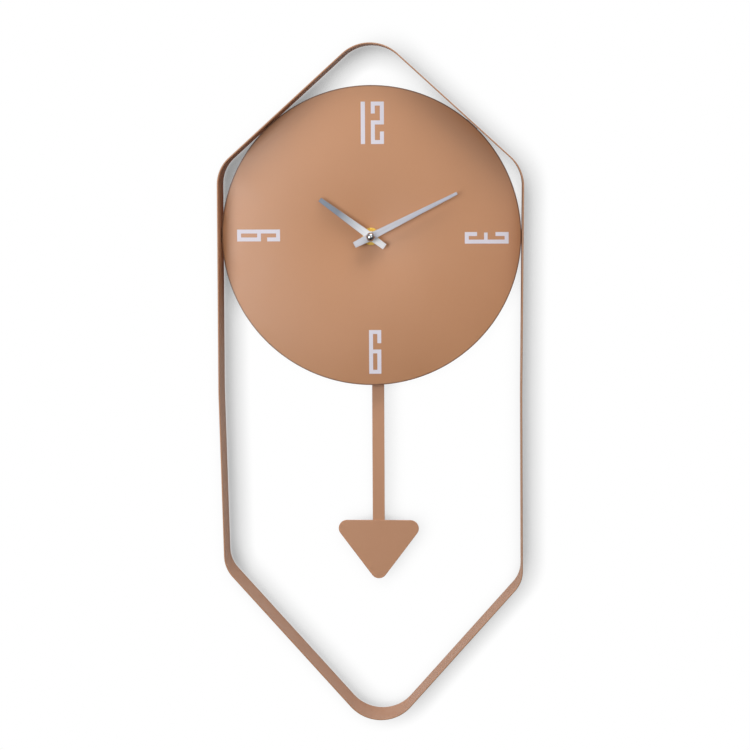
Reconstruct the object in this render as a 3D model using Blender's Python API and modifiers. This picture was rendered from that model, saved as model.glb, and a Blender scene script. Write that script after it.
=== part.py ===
"""Pendulum wall clock: a bent steel loop, a round dial inside it, a quartz movement and a pendulum.

Metres, +Z up. The front faces -Y and the wall is the plane Y = 0. The origin is the point on the
wall where the shank of the wall screw sits, at the upper end of the keyhole.
Positions along X and Z below are given from the dial's centre, and Y from the wall.
"""

import math

import bmesh
import bpy
from mathutils import Matrix, Vector

# Driving dimensions
DIAL_RADIUS = 0.125
DIAL_THICKNESS = 0.001
DIAL_FRONT = -0.0195
HOOK_ABOVE_DIAL_CENTRE = 0.048
BAND_DEPTH = 0.036
BAND_THICKNESS = 0.0012
GAP = 0.0003

# The band's bends, walked anticlockwise from the top: x, z and outer radius.
# The loop is slightly out of square, as a strip bent by hand is.
BAND_BENDS = (
    (0.0003, 0.1710, 0.034),
    (-0.1266, 0.0570, 0.030),
    (-0.1278, -0.1300, 0.200),
    (-0.1248, -0.2793, 0.028),
    (0.0072, -0.4278, 0.034),
    (0.1272, -0.2901, 0.026),
    (0.1260, -0.1300, 0.200),
    (0.1269, 0.0560, 0.033),
)

# Dial tabs, welded to the band behind the dial
TAB_WIDTH = 0.012
TAB_REACH = 0.014
TAB_DEPTH = 0.012
TAB_THICKNESS = 0.0012

# Movement case and its cover
CASE_HALF_WIDTH = 0.028
CASE_TOP = 0.034
CASE_BOTTOM = -0.064
CASE_FRONT = -0.0170
CASE_REAR = -0.0018
CASE_WALL = 0.0012
CASE_CORNER = 0.003
CASE_SLOT_HALF_WIDTH = 0.008
CASE_SLOT_FRONT = -0.0140
CASE_SLOT_REAR = -0.0055
COVER_FRONT = -0.0015
COVER_REAR = 0.0
HANGER_HALF_WIDTH = 0.009
HANGER_TOP = 0.055
HANGER_FLARE = 0.004
KEYHOLE_HEAD_RADIUS = 0.0045
KEYHOLE_SLOT_RADIUS = 0.0022
KEYHOLE_DROP = 0.0070

# Stack on the threaded bushing
BUSHING_RADIUS = 0.0040
BUSHING_BORE = 0.0025
BUSHING_FRONT = -0.0236
BUSHING_FLANGE_RADIUS = 0.0060
HOLE_ON_BUSHING = 0.0044
RUBBER_WASHER_RADIUS = 0.0095
BRASS_WASHER_RADIUS = 0.0072
BRASS_WASHER_THICKNESS = 0.0006
HEX_NUT_RADIUS = 0.00635
HEX_NUT_THICKNESS = 0.0023

# Hands: lengths of blade and tail from the axis, widths of the tail at its end and at the hub,
# widths of the blade at the hub and at its tip, radius of the hub.
# The angles are clockwise from 12, as seen from the front.
HAND_THICKNESS = 0.0006
HOUR_HAND_FRONT = -0.0250
HOUR_HAND_ANGLE = 306.2
HOUR_HAND = (0.0524, 0.0144, 0.0051, 0.0057, 0.0062, 0.0038, 0.0044)
MINUTE_HAND_FRONT = -0.0269
MINUTE_HAND_ANGLE = 63.4
MINUTE_HAND = (0.0802, 0.0153, 0.0050, 0.0065, 0.0060, 0.0024, 0.0034)
HOUR_TUBE_RADIUS = 0.0022
HOUR_TUBE_BORE = 0.0014
MINUTE_ARBOR_RADIUS = 0.0011
MINUTE_ARBOR_FRONT = -0.0292
MINUTE_ARBOR_REAR = -0.0103
CAP_NUT_RADIUS = 0.0038
CAP_NUT_BACK = -0.0272
CAP_NUT_NECK = 0.0022

# Wheels: thickness, and the front faces of the layers
WHEEL_THICKNESS = 0.0008
PINION_EXTRA = 0.0001
HOUR_LAYER = -0.0142
MOTION_LAYER = -0.0129
CENTRE_LAYER = -0.0116
THIRD_LAYER = -0.0099
SECOND_LAYER = -0.0086
FIFTH_LAYER = -0.0073
ARBOR_RADIUS = 0.0005
ARBOR_REAR = -0.0047
PINION_TEETH = 8

# A tooth's height outside and inside the pitch circle in modules, and its half widths at the tip
# and the root in pitches
ADDENDUM = 0.80
DEDENDUM = 1.05
TOOTH_TIP = 0.10
TOOTH_ROOT = 0.27

# Teeth and centre distances of each meshing pair. A pair's module is its centre distance
# over half of the sum of its teeth.
CANNON_TEETH = 10
MOTION_TEETH = 30
HOUR_TEETH = 32
CENTRE_TEETH = 64
THIRD_TEETH = 60
SECOND_TEETH = 32
FIFTH_TEETH = 60
MOTION_DISTANCE = 0.0090
MOTION_DIRECTION = 210.0
THIRD_DISTANCE = 0.0085
THIRD_DIRECTION = 30.0
FIFTH_DISTANCE = 0.0090
FIFTH_DIRECTION = 120.0
ROTOR_DISTANCE = 0.0085

# Train plate, which carries the arbors' rear ends
TRAIN_PLATE_FRONT = -0.0059
TRAIN_PLATE_REAR = -0.0049
TRAIN_PLATE_LEFT = -0.0145
TRAIN_PLATE_RIGHT = 0.0165
TRAIN_PLATE_BOTTOM = -0.0130
TRAIN_PLATE_TOP = 0.0215
PIVOT_CLEARANCE = 0.00008

# Stepper motor
ROTOR_MAGNET_RADIUS = 0.0030
ROTOR_MAGNET_FRONT = -0.0110
ROTOR_MAGNET_REAR = -0.0090
STATOR_FRONT = -0.0104
STATOR_REAR = -0.0096
STATOR_HOLE_RADIUS = 0.0036
STATOR_LEFT = -0.0250
STATOR_RIGHT = -0.0010
STATOR_BOTTOM = 0.0105
STATOR_TOP = 0.0282
STATOR_WINDOW = (-0.0223, -0.0037, 0.0205, 0.0258)
DRIVE_COIL_LENGTH = 0.0165
DRIVE_COIL_RADIUS = 0.0040
DRIVE_COIL_BORE = 0.0020

# Setting knob
KNOB_RADIUS = 0.0050
KNOB_FRONT = -0.0039
KNOB_REAR = -0.0004
KNOB_RIBS = 20
KNOB_HOLE_RADIUS = 0.0056

# Battery, size AA, lying across the case
BATTERY_RADIUS = 0.0070
BATTERY_HALF_LENGTH = 0.0247
BATTERY_Y = -0.0085
BATTERY_Z = -0.0260
BATTERY_NUB_RADIUS = 0.0027
BATTERY_NUB_LENGTH = 0.0010
BATTERY_WINDOW = (-0.0262, 0.0262, -0.0335, -0.0185)
CONTACT_THICKNESS = 0.0004
CONTACT_RADIUS = 0.0055

# Pendulum drive and pendulum
PENDULUM_X = 0.0050
PIVOT_Z = -0.0400
PIVOT_PIN_RADIUS = 0.0008
PIVOT_PIN_FRONT = -0.0155
PIVOT_PIN_REAR = -0.0050
HANGER_ARM_FRONT = -0.0092
HANGER_ARM_REAR = -0.0077
HANGER_ARM_HALF_WIDTH = 0.0030
HOOK_Z = -0.0720
HOOK_RADIUS = 0.0012
HOOK_FRONT = -0.0128
MAGNET_Z = -0.0540
MAGNET_RADIUS = 0.0030
MAGNET_FRONT = -0.0115
PENDULUM_COIL_FRONT = -0.0155
PENDULUM_COIL_REAR = -0.0122
PENDULUM_COIL_RADIUS = 0.0060
PENDULUM_COIL_BORE = 0.0022
ROD_FRONT = -0.0120
ROD_THICKNESS = 0.0010
ROD_HALF_WIDTH = 0.0051
ROD_TOP = -0.0680
ROD_BOTTOM = -0.2500
BOB_FRONT = -0.0133
BOB_THICKNESS = 0.0010
BOB_TOP = -0.2417
BOB_BOTTOM = -0.2925
BOB_HALF_WIDTH = 0.0339
BOB_CORNER = 0.0072
BOB_SLOPE = 52.5
STUD_Z = -0.2458
STUD_RADIUS = 0.0012
STUD_HEAD_RADIUS = 0.0024
STUD_GAP = 0.0001

# Circuit board
BOARD_BOX = (-0.0262, -0.0050, -0.0600, -0.0370)
BOARD_FRONT = -0.0145
BOARD_REAR = -0.0135
CRYSTAL_RADIUS = 0.0010
CRYSTAL_HALF_LENGTH = 0.0032

PARTS = "pendulum_wall_clock"
CUTTERS = "cutters"

FINISHES = {
    "copper_paint": ((0.50, 0.27, 0.16), 0.45, 0.15),
    "satin_aluminium": ((0.80, 0.80, 0.82), 0.30, 1.0),
    "polished_chrome": ((0.85, 0.85, 0.87), 0.12, 1.0),
    "brass": ((0.78, 0.58, 0.26), 0.30, 1.0),
    "black_plastic": ((0.02, 0.02, 0.02), 0.50, 0.0),
    "white_plastic": ((0.80, 0.80, 0.78), 0.45, 0.0),
    "rubber": ((0.03, 0.03, 0.03), 0.80, 0.0),
    "steel": ((0.55, 0.55, 0.56), 0.35, 1.0),
    "copper_wire": ((0.70, 0.32, 0.14), 0.35, 1.0),
    "board_green": ((0.04, 0.20, 0.08), 0.50, 0.0),
    "battery_sleeve": ((0.08, 0.10, 0.30), 0.35, 0.2),
    "magnet": ((0.12, 0.12, 0.13), 0.40, 0.6),
}


def polar(radius, degrees):
    """A point at a radius, with the angle anticlockwise from +X as seen from the front."""
    angle = math.radians(degrees)
    return Vector((radius * math.cos(angle), radius * math.sin(angle)))


MOTION_AT = polar(MOTION_DISTANCE, MOTION_DIRECTION)
THIRD_AT = polar(THIRD_DISTANCE, THIRD_DIRECTION)
FIFTH_AT = polar(FIFTH_DISTANCE, FIFTH_DIRECTION)
ROTOR_AT = FIFTH_AT + polar(ROTOR_DISTANCE, FIFTH_DIRECTION)
CENTRE = Vector((0.0, 0.0))


# Scene, collections and materials


def clear_scene():
    for obj in list(bpy.data.objects):
        bpy.data.objects.remove(obj, do_unlink=True)
    for name in (PARTS, CUTTERS):
        bpy.context.scene.collection.children.link(bpy.data.collections.new(name))


def make_material(name):
    colour, roughness, metallic = FINISHES[name]
    material = bpy.data.materials.new(name)
    material.use_nodes = True
    shader = material.node_tree.nodes["Principled BSDF"]
    shader.inputs["Base Color"].default_value = (*colour, 1.0)
    shader.inputs["Roughness"].default_value = roughness
    shader.inputs["Metallic"].default_value = metallic
    return material


def finish(obj, name, material):
    """Names a part, gives it its own copy of a finish and moves it from the dial's centre to its place."""
    obj.name = name
    obj.data.name = name
    obj.data.materials.clear()
    obj.data.materials.append(make_material(material))
    obj.location.z -= HOOK_ABOVE_DIAL_CENTRE
    return obj


# Outlines: lists of (x, z) points


def circle(radius, segments, centre=CENTRE, start=0.0):
    return [centre + polar(radius, start + 360.0 * i / segments) for i in range(segments)]


def rounded(corners, per_arc=6):
    """A closed outline through corners (x, z, radius), with each corner an arc."""
    points = []
    count = len(corners)
    for i, (x, z, radius) in enumerate(corners):
        corner = Vector((x, z))
        before = (Vector(corners[i - 1][:2]) - corner).normalized()
        after = (Vector(corners[(i + 1) % count][:2]) - corner).normalized()
        half = before.angle(after) / 2
        centre = corner + (before + after).normalized() * radius / math.sin(half)
        first = corner + before * radius / math.tan(half) - centre
        last = corner + after * radius / math.tan(half) - centre
        sweep = math.atan2(first.x * last.y - first.y * last.x, first.dot(last))
        for step in range(per_arc + 1):
            points.append(centre + Matrix.Rotation(sweep * step / per_arc, 2) @ first)
    return points


def rounded_box(left, right, bottom, top, radius):
    ends = ((right, top), (left, top), (left, bottom), (right, bottom))
    return rounded([(x, z, radius) for x, z in ends], 3)


def inset(corners, distance):
    """The corners moved inwards, so that every side shifts by the distance and the arcs stay parallel."""
    moved = []
    count = len(corners)
    for i, (x, z, radius) in enumerate(corners):
        corner = Vector((x, z))
        before = (Vector(corners[i - 1][:2]) - corner).normalized()
        after = (Vector(corners[(i + 1) % count][:2]) - corner).normalized()
        half = before.angle(after) / 2
        # The corners run anticlockwise, so a corner that turns the other way is a hollow one.
        shift = distance if after.cross(before) > 0 else -distance
        inner = corner + (before + after).normalized() * shift / math.sin(half)
        moved.append((inner.x, inner.y, radius - shift))
    return moved


def gear_outline(teeth, pitch_radius, toward, tooth_there):
    """Thin straight-flanked teeth, with a tooth or a gap on the direction of the mating gear."""
    pitch = 360.0 / teeth
    module = 2 * pitch_radius / teeth
    tip, root = pitch_radius + ADDENDUM * module, pitch_radius - DEDENDUM * module
    start = toward if tooth_there else toward + pitch / 2
    points = []
    for tooth in range(teeth):
        middle = start + tooth * pitch
        points.append(polar(root, middle - TOOTH_ROOT * pitch))
        points.append(polar(tip, middle - TOOTH_TIP * pitch))
        points.append(polar(tip, middle + TOOTH_TIP * pitch))
        points.append(polar(root, middle + TOOTH_ROOT * pitch))
    return points


def hand_outline(length, tail, tail_end_width, tail_width, blade_width, tip_width, hub_radius):
    """A tapered baton along +Z with a round hub at the origin."""
    upper = math.asin(blade_width / 2 / hub_radius)
    lower = math.asin(tail_width / 2 / hub_radius)
    steps = 6
    right = [Vector((tail_end_width / 2, -tail))]
    for step in range(steps + 1):
        angle = math.pi - lower - (math.pi - lower - upper) * step / steps
        right.append(Vector((hub_radius * math.sin(angle), hub_radius * math.cos(angle))))
    right.append(Vector((tip_width / 2, length)))
    left = [Vector((-point.x, point.y)) for point in reversed(right)]
    return right + left


# Solids


def link(obj, collection=PARTS):
    bpy.data.collections[collection].objects.link(obj)
    return obj


def plate(outlines, front, rear, at=CENTRE):
    """A flat plate facing -Y: the first outline is its edge, and the others are holes."""
    curve = bpy.data.curves.new("plate", "CURVE")
    curve.dimensions = "2D"
    curve.fill_mode = "BOTH"
    curve.extrude = (rear - front) / 2
    for outline in outlines:
        spline = curve.splines.new("POLY")
        spline.points.add(len(outline) - 1)
        for point, place in zip(spline.points, outline):
            point.co = (place.x, place.y, 0.0, 1.0)
        spline.use_cyclic_u = True
    obj = link(bpy.data.objects.new("plate", curve))
    obj.rotation_euler = (math.pi / 2, 0.0, 0.0)
    obj.location = (at.x, (front + rear) / 2, at.y)
    return obj


def as_mesh(obj):
    """The mesh of a curve object, with its caps welded, in place of the curve."""
    bpy.context.view_layer.update()
    evaluated = obj.evaluated_get(bpy.context.evaluated_depsgraph_get())
    mesh = bpy.data.meshes.new_from_object(evaluated)
    work = bmesh.new()
    work.from_mesh(mesh)
    bmesh.ops.remove_doubles(work, verts=work.verts, dist=1e-7)
    bmesh.ops.recalc_face_normals(work, faces=work.faces)
    work.to_mesh(mesh)
    work.free()
    made = link(bpy.data.objects.new("solid", mesh))
    made.matrix_world = obj.matrix_world
    bpy.data.objects.remove(obj, do_unlink=True)
    return made


def plate_mesh(outlines, front, rear, at=CENTRE):
    return as_mesh(plate(outlines, front, rear, at))


def shaft(radius, front, rear, at=CENTRE, segments=16):
    """A cylinder along Y."""
    mesh = bpy.data.meshes.new("shaft")
    work = bmesh.new()
    bmesh.ops.create_cone(
        work,
        cap_ends=True,
        segments=segments,
        radius1=radius,
        radius2=radius,
        depth=rear - front,
        matrix=Matrix.Rotation(math.pi / 2, 4, "X"),
    )
    work.to_mesh(mesh)
    work.free()
    obj = link(bpy.data.objects.new("shaft", mesh))
    obj.location = (at.x, (front + rear) / 2, at.y)
    return obj


def box(low, high):
    """A box between two corners (x, y, z)."""
    low, high = Vector(low), Vector(high)
    mesh = bpy.data.meshes.new("box")
    work = bmesh.new()
    bmesh.ops.create_cube(work, size=1.0, matrix=Matrix.Diagonal((*(high - low), 1.0)))
    work.to_mesh(mesh)
    work.free()
    obj = link(bpy.data.objects.new("box", mesh))
    obj.location = (low + high) / 2
    return obj


def turned(profile, steps, along_x=False):
    """Turns a profile of (radius, place) about the Y axis, or about X, from its high end to its low end."""
    mesh = bpy.data.meshes.new("turned")
    places = [(radius, 0.0, place) for radius, place in profile]
    closed = profile[0][0] > 0.0 and profile[-1][0] > 0.0
    edges = [(i, i + 1) for i in range(len(places) - 1)]
    if closed:
        edges.append((len(places) - 1, 0))
    mesh.from_pydata(places, edges, [])
    obj = link(bpy.data.objects.new("turned", mesh))
    screw = obj.modifiers.new("Screw", "SCREW")
    screw.steps = steps
    screw.render_steps = steps
    screw.use_merge_vertices = True
    screw.merge_threshold = 1e-6
    obj.rotation_euler = (0.0, math.pi / 2, 0.0) if along_x else (-math.pi / 2, 0.0, 0.0)
    return obj


def boolean(obj, other, operation):
    modifier = obj.modifiers.new(operation, "BOOLEAN")
    modifier.operation = operation
    modifier.solver = "EXACT"
    modifier.object = other
    other.hide_render = True
    other.display_type = "WIRE"
    other.location.z -= HOOK_ABOVE_DIAL_CENTRE
    bpy.data.collections[PARTS].objects.unlink(other)
    bpy.data.collections[CUTTERS].objects.link(other)


def joined(first, *others):
    for other in others:
        boolean(first, other, "UNION")
    return first


def cut(first, *others):
    for other in others:
        boolean(first, other, "DIFFERENCE")
    return first


# Frame and dial


def make_band():
    outlines = (rounded(BAND_BENDS, 8), rounded(inset(BAND_BENDS, BAND_THICKNESS), 8))
    finish(plate(outlines, -BAND_DEPTH, 0.0), "frame_band", "copper_paint")


def make_dial():
    outlines = (circle(DIAL_RADIUS, 128), circle(HOLE_ON_BUSHING, 24))
    plate_back = DIAL_FRONT + DIAL_THICKNESS
    finish(plate(outlines, DIAL_FRONT, plate_back), "dial_plate", "copper_paint")


def side_of_band(start, end):
    """The outward direction, in degrees, and the distance of the band's inner face on one side."""
    a, b = Vector(BAND_BENDS[start][:2]), Vector(BAND_BENDS[end][:2])
    along = (b - a).normalized()
    outward = Vector((-along.y, along.x))
    if outward.dot(a) < 0:
        outward.negate()
    return outward, outward.dot(a) - BAND_THICKNESS


def make_dial_tabs():
    """Four bent tabs: one leg lies on the band's inner face and the other behind the dial."""
    front = DIAL_FRONT + DIAL_THICKNESS + GAP
    sides = {"left": (1, 2), "top_left": (0, 1), "right": (6, 7), "top_right": (7, 0)}
    for name, (start, end) in sides.items():
        outward, face = side_of_band(start, end)
        outer = face - GAP
        leg = [
            (outer, front),
            (outer, front + TAB_DEPTH),
            (outer - TAB_THICKNESS, front + TAB_DEPTH),
            (outer - TAB_THICKNESS, front + TAB_THICKNESS),
            (outer - TAB_REACH, front + TAB_THICKNESS),
            (outer - TAB_REACH, front),
        ]
        tab = plate([[Vector(point) for point in leg]], -TAB_WIDTH / 2, TAB_WIDTH / 2)
        radial = Vector((outward.x, 0.0, outward.y))
        depth = Vector((0.0, 1.0, 0.0))
        across = radial.cross(depth)
        turn = Matrix((radial, depth, across)).transposed()
        tab.rotation_euler = turn.to_euler()
        tab.location = (0.0, 0.0, 0.0)
        finish(tab, f"dial_tab_{name}", "copper_paint")


# Movement case


def make_case():
    outer = rounded_box(-CASE_HALF_WIDTH, CASE_HALF_WIDTH, CASE_BOTTOM, CASE_TOP, CASE_CORNER)
    shell = plate_mesh([outer], CASE_FRONT, CASE_REAR)
    half = CASE_HALF_WIDTH - CASE_WALL
    low, high = CASE_BOTTOM + CASE_WALL, CASE_TOP - CASE_WALL
    hollow = rounded_box(-half, half, low, high, CASE_CORNER - CASE_WALL)
    inside = plate_mesh([hollow], CASE_FRONT + CASE_WALL, CASE_REAR + CASE_WALL)
    bushing_hole = shaft(HOLE_ON_BUSHING, CASE_FRONT - CASE_WALL, CASE_FRONT + 2 * CASE_WALL, segments=24)
    slot = box(
        (PENDULUM_X - CASE_SLOT_HALF_WIDTH, CASE_SLOT_FRONT, CASE_BOTTOM - CASE_WALL),
        (PENDULUM_X + CASE_SLOT_HALF_WIDTH, CASE_SLOT_REAR, CASE_BOTTOM + 2 * CASE_WALL),
    )
    finish(cut(shell, inside, bushing_hole, slot), "movement_case", "black_plastic")


def keyhole():
    """A round head with a narrower slot above it, whose upper end is centred on the wall screw."""
    slot_z = HOOK_ABOVE_DIAL_CENTRE
    head_z = slot_z - KEYHOLE_DROP
    points = []
    for step in range(9):
        points.append(Vector((0.0, slot_z)) + polar(KEYHOLE_SLOT_RADIUS, 180.0 * step / 8))
    opening = math.degrees(math.asin(KEYHOLE_SLOT_RADIUS / KEYHOLE_HEAD_RADIUS))
    for step in range(13):
        angle = 90.0 + opening + (360.0 - 2 * opening) * step / 12
        points.append(Vector((0.0, head_z)) + polar(KEYHOLE_HEAD_RADIUS, angle))
    return points


def make_cover():
    """The rear cover, with the hanger tab above it, open over the battery and the knob."""
    left, right = -CASE_HALF_WIDTH, CASE_HALF_WIDTH
    corners = [
        (right, CASE_TOP, CASE_CORNER),
        (HANGER_HALF_WIDTH + HANGER_FLARE, CASE_TOP, CASE_CORNER),
        (HANGER_HALF_WIDTH, HANGER_TOP, CASE_CORNER),
        (-HANGER_HALF_WIDTH, HANGER_TOP, CASE_CORNER),
        (-HANGER_HALF_WIDTH - HANGER_FLARE, CASE_TOP, CASE_CORNER),
        (left, CASE_TOP, CASE_CORNER),
        (left, CASE_BOTTOM, CASE_CORNER),
        (right, CASE_BOTTOM, CASE_CORNER),
    ]
    outlines = (
        rounded(corners, 3),
        rounded_box(*BATTERY_WINDOW, 0.0015),
        circle(KNOB_HOLE_RADIUS, 32, MOTION_AT),
        keyhole(),
    )
    finish(plate(outlines, COVER_FRONT, COVER_REAR), "movement_cover", "black_plastic")


def make_bushing_stack():
    """The threaded bushing, and what is clamped on it: rubber washer, dial, brass washer and hex nut."""
    flange_front = CASE_FRONT + CASE_WALL + GAP
    flange_rear = flange_front + 0.0008
    bushing = turned(
        [
            (BUSHING_BORE, -BUSHING_FRONT),
            (BUSHING_RADIUS - 0.0003, -BUSHING_FRONT),
            (BUSHING_RADIUS, -BUSHING_FRONT - 0.0003),
            (BUSHING_RADIUS, -flange_front),
            (BUSHING_FLANGE_RADIUS, -flange_front),
            (BUSHING_FLANGE_RADIUS, -flange_rear),
            (BUSHING_BORE, -flange_rear),
        ],
        24,
    )
    bushing.rotation_euler = (math.pi / 2, 0.0, 0.0)
    finish(bushing, "threaded_bushing", "brass")
    rubber_front = DIAL_FRONT + DIAL_THICKNESS + GAP
    rubber = (circle(RUBBER_WASHER_RADIUS, 32), circle(HOLE_ON_BUSHING, 24))
    finish(plate(rubber, rubber_front, CASE_FRONT - GAP), "rubber_washer", "rubber")
    washer_rear = DIAL_FRONT - GAP
    washer_front = washer_rear - BRASS_WASHER_THICKNESS
    washer = (circle(BRASS_WASHER_RADIUS, 40), circle(HOLE_ON_BUSHING, 24))
    finish(plate(washer, washer_front, washer_rear), "brass_washer", "brass")
    nut_rear = washer_front - GAP
    nut = (circle(HEX_NUT_RADIUS, 6), circle(HOLE_ON_BUSHING, 24))
    finish(plate(nut, nut_rear - HEX_NUT_THICKNESS, nut_rear), "hex_nut", "brass")


# Wheels


def wheel(teeth, pitch_radius, layer, at, toward, tooth_there, hole=None):
    extra = PINION_EXTRA if tooth_there else 0.0
    outlines = [gear_outline(teeth, pitch_radius, toward, tooth_there)]
    if hole:
        outlines.append(circle(hole, 16))
    return plate_mesh(outlines, layer - extra, layer + WHEEL_THICKNESS + extra, at)


def pitch_radii(distance, teeth, mate_teeth):
    """Pitch radii of a gear and its mate, whose sum is their centre distance."""
    whole = teeth + mate_teeth
    return distance * teeth / whole, distance * mate_teeth / whole


def make_minute_arbor():
    """The arbor of the minute hand, with the cannon pinion on it."""
    pinion, _ = pitch_radii(MOTION_DISTANCE, CANNON_TEETH, MOTION_TEETH)
    arbor = shaft(MINUTE_ARBOR_RADIUS, MINUTE_ARBOR_FRONT, MINUTE_ARBOR_REAR, segments=20)
    teeth = wheel(CANNON_TEETH, pinion, MOTION_LAYER, CENTRE, MOTION_DIRECTION, True)
    finish(joined(arbor, teeth), "minute_arbor", "steel")


def make_hour_wheel():
    """The hour wheel and its tube, which turns between the bushing and the minute arbor."""
    _, radius = pitch_radii(MOTION_DISTANCE, PINION_TEETH, HOUR_TEETH)
    between = (HOUR_TUBE_RADIUS + HOUR_TUBE_BORE) / 2
    disc = wheel(HOUR_TEETH, radius, HOUR_LAYER, CENTRE, MOTION_DIRECTION, False, between)
    rings = (circle(HOUR_TUBE_RADIUS, 24), circle(HOUR_TUBE_BORE, 24))
    tube = plate_mesh(rings, HOUR_HAND_FRONT - 0.0002, HOUR_LAYER + WHEEL_THICKNESS + 0.0001)
    finish(joined(disc, tube), "hour_wheel", "white_plastic")


def make_motion_wheel():
    """The motion wheel, its pinion and the arbor that runs back to the setting knob."""
    _, wheel_radius = pitch_radii(MOTION_DISTANCE, CANNON_TEETH, MOTION_TEETH)
    pinion_radius, _ = pitch_radii(MOTION_DISTANCE, PINION_TEETH, HOUR_TEETH)
    back = MOTION_DIRECTION + 180.0
    disc = wheel(MOTION_TEETH, wheel_radius, MOTION_LAYER, MOTION_AT, back, False)
    pinion = wheel(PINION_TEETH, pinion_radius, HOUR_LAYER, MOTION_AT, back, True)
    arbor = shaft(ARBOR_RADIUS, HOUR_LAYER - 0.0006, KNOB_FRONT + 0.0020, MOTION_AT)
    finish(joined(disc, pinion, arbor), "motion_wheel", "white_plastic")


def make_setting_knob():
    """A ribbed knob pressed on the motion wheel's arbor."""
    outline = []
    for rib in range(KNOB_RIBS):
        start = 360.0 * rib / KNOB_RIBS
        outline.append(polar(KNOB_RADIUS, start))
        outline.append(polar(KNOB_RADIUS, start + 180.0 / KNOB_RIBS))
        outline.append(polar(KNOB_RADIUS - 0.0004, start + 220.0 / KNOB_RIBS))
        outline.append(polar(KNOB_RADIUS - 0.0004, start + 320.0 / KNOB_RIBS))
    knob = plate_mesh([outline], KNOB_FRONT, KNOB_REAR, MOTION_AT)
    bore = shaft(ARBOR_RADIUS + GAP, KNOB_FRONT - 0.001, KNOB_FRONT + 0.0024, MOTION_AT)
    finish(cut(knob, bore), "setting_knob", "white_plastic")


def make_centre_wheel():
    """A ring that grips the minute arbor by friction, so that the hands can be set."""
    _, radius = pitch_radii(THIRD_DISTANCE, PINION_TEETH, CENTRE_TEETH)
    hole = MINUTE_ARBOR_RADIUS + PIVOT_CLEARANCE
    disc = wheel(CENTRE_TEETH, radius, CENTRE_LAYER, CENTRE, THIRD_DIRECTION, False, hole)
    finish(disc, "centre_wheel", "white_plastic")


def train_arbor(at, front):
    return shaft(ARBOR_RADIUS, front, ARBOR_REAR, at)


def make_third_wheel():
    pinion_radius, _ = pitch_radii(THIRD_DISTANCE, PINION_TEETH, CENTRE_TEETH)
    _, wheel_radius = pitch_radii(THIRD_DISTANCE, PINION_TEETH, THIRD_TEETH)
    back = THIRD_DIRECTION + 180.0
    disc = wheel(THIRD_TEETH, wheel_radius, THIRD_LAYER, THIRD_AT, back, False)
    pinion = wheel(PINION_TEETH, pinion_radius, CENTRE_LAYER, THIRD_AT, back, True)
    arbor = train_arbor(THIRD_AT, CENTRE_LAYER - 0.0010)
    finish(joined(disc, pinion, arbor), "third_wheel", "white_plastic")


def make_second_wheel():
    """The wheel that turns once a minute, behind the minute arbor."""
    pinion_radius, _ = pitch_radii(THIRD_DISTANCE, PINION_TEETH, THIRD_TEETH)
    _, wheel_radius = pitch_radii(FIFTH_DISTANCE, PINION_TEETH, SECOND_TEETH)
    disc = wheel(SECOND_TEETH, wheel_radius, SECOND_LAYER, CENTRE, FIFTH_DIRECTION, False)
    pinion = wheel(PINION_TEETH, pinion_radius, THIRD_LAYER, CENTRE, THIRD_DIRECTION, True)
    arbor = train_arbor(CENTRE, THIRD_LAYER - PINION_EXTRA - 0.00005)
    finish(joined(disc, pinion, arbor), "second_wheel", "white_plastic")


def make_fifth_wheel():
    pinion_radius, _ = pitch_radii(FIFTH_DISTANCE, PINION_TEETH, SECOND_TEETH)
    _, wheel_radius = pitch_radii(ROTOR_DISTANCE, PINION_TEETH, FIFTH_TEETH)
    back = FIFTH_DIRECTION + 180.0
    disc = wheel(FIFTH_TEETH, wheel_radius, FIFTH_LAYER, FIFTH_AT, FIFTH_DIRECTION, False)
    pinion = wheel(PINION_TEETH, pinion_radius, SECOND_LAYER, FIFTH_AT, back, True)
    arbor = train_arbor(FIFTH_AT, SECOND_LAYER - 0.0008)
    finish(joined(disc, pinion, arbor), "fifth_wheel", "white_plastic")


def make_rotor():
    """The stepper motor's rotor: a round magnet and its pinion on one arbor."""
    pinion_radius, _ = pitch_radii(ROTOR_DISTANCE, PINION_TEETH, FIFTH_TEETH)
    back = FIFTH_DIRECTION + 180.0
    magnet = shaft(ROTOR_MAGNET_RADIUS, ROTOR_MAGNET_FRONT, ROTOR_MAGNET_REAR, ROTOR_AT, 24)
    pinion = wheel(PINION_TEETH, pinion_radius, FIFTH_LAYER, ROTOR_AT, back, True)
    arbor = train_arbor(ROTOR_AT, ROTOR_MAGNET_FRONT - 0.0010)
    finish(joined(magnet, pinion, arbor), "rotor", "magnet")


def make_train_plate():
    edge = rounded_box(
        TRAIN_PLATE_LEFT, TRAIN_PLATE_RIGHT, TRAIN_PLATE_BOTTOM, TRAIN_PLATE_TOP, 0.002
    )
    outlines = [edge]
    for at in (CENTRE, MOTION_AT, THIRD_AT, FIFTH_AT, ROTOR_AT):
        outlines.append(circle(ARBOR_RADIUS + PIVOT_CLEARANCE, 16, at))
    finish(plate(outlines, TRAIN_PLATE_FRONT, TRAIN_PLATE_REAR), "train_plate", "steel")


# Electrics


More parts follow.
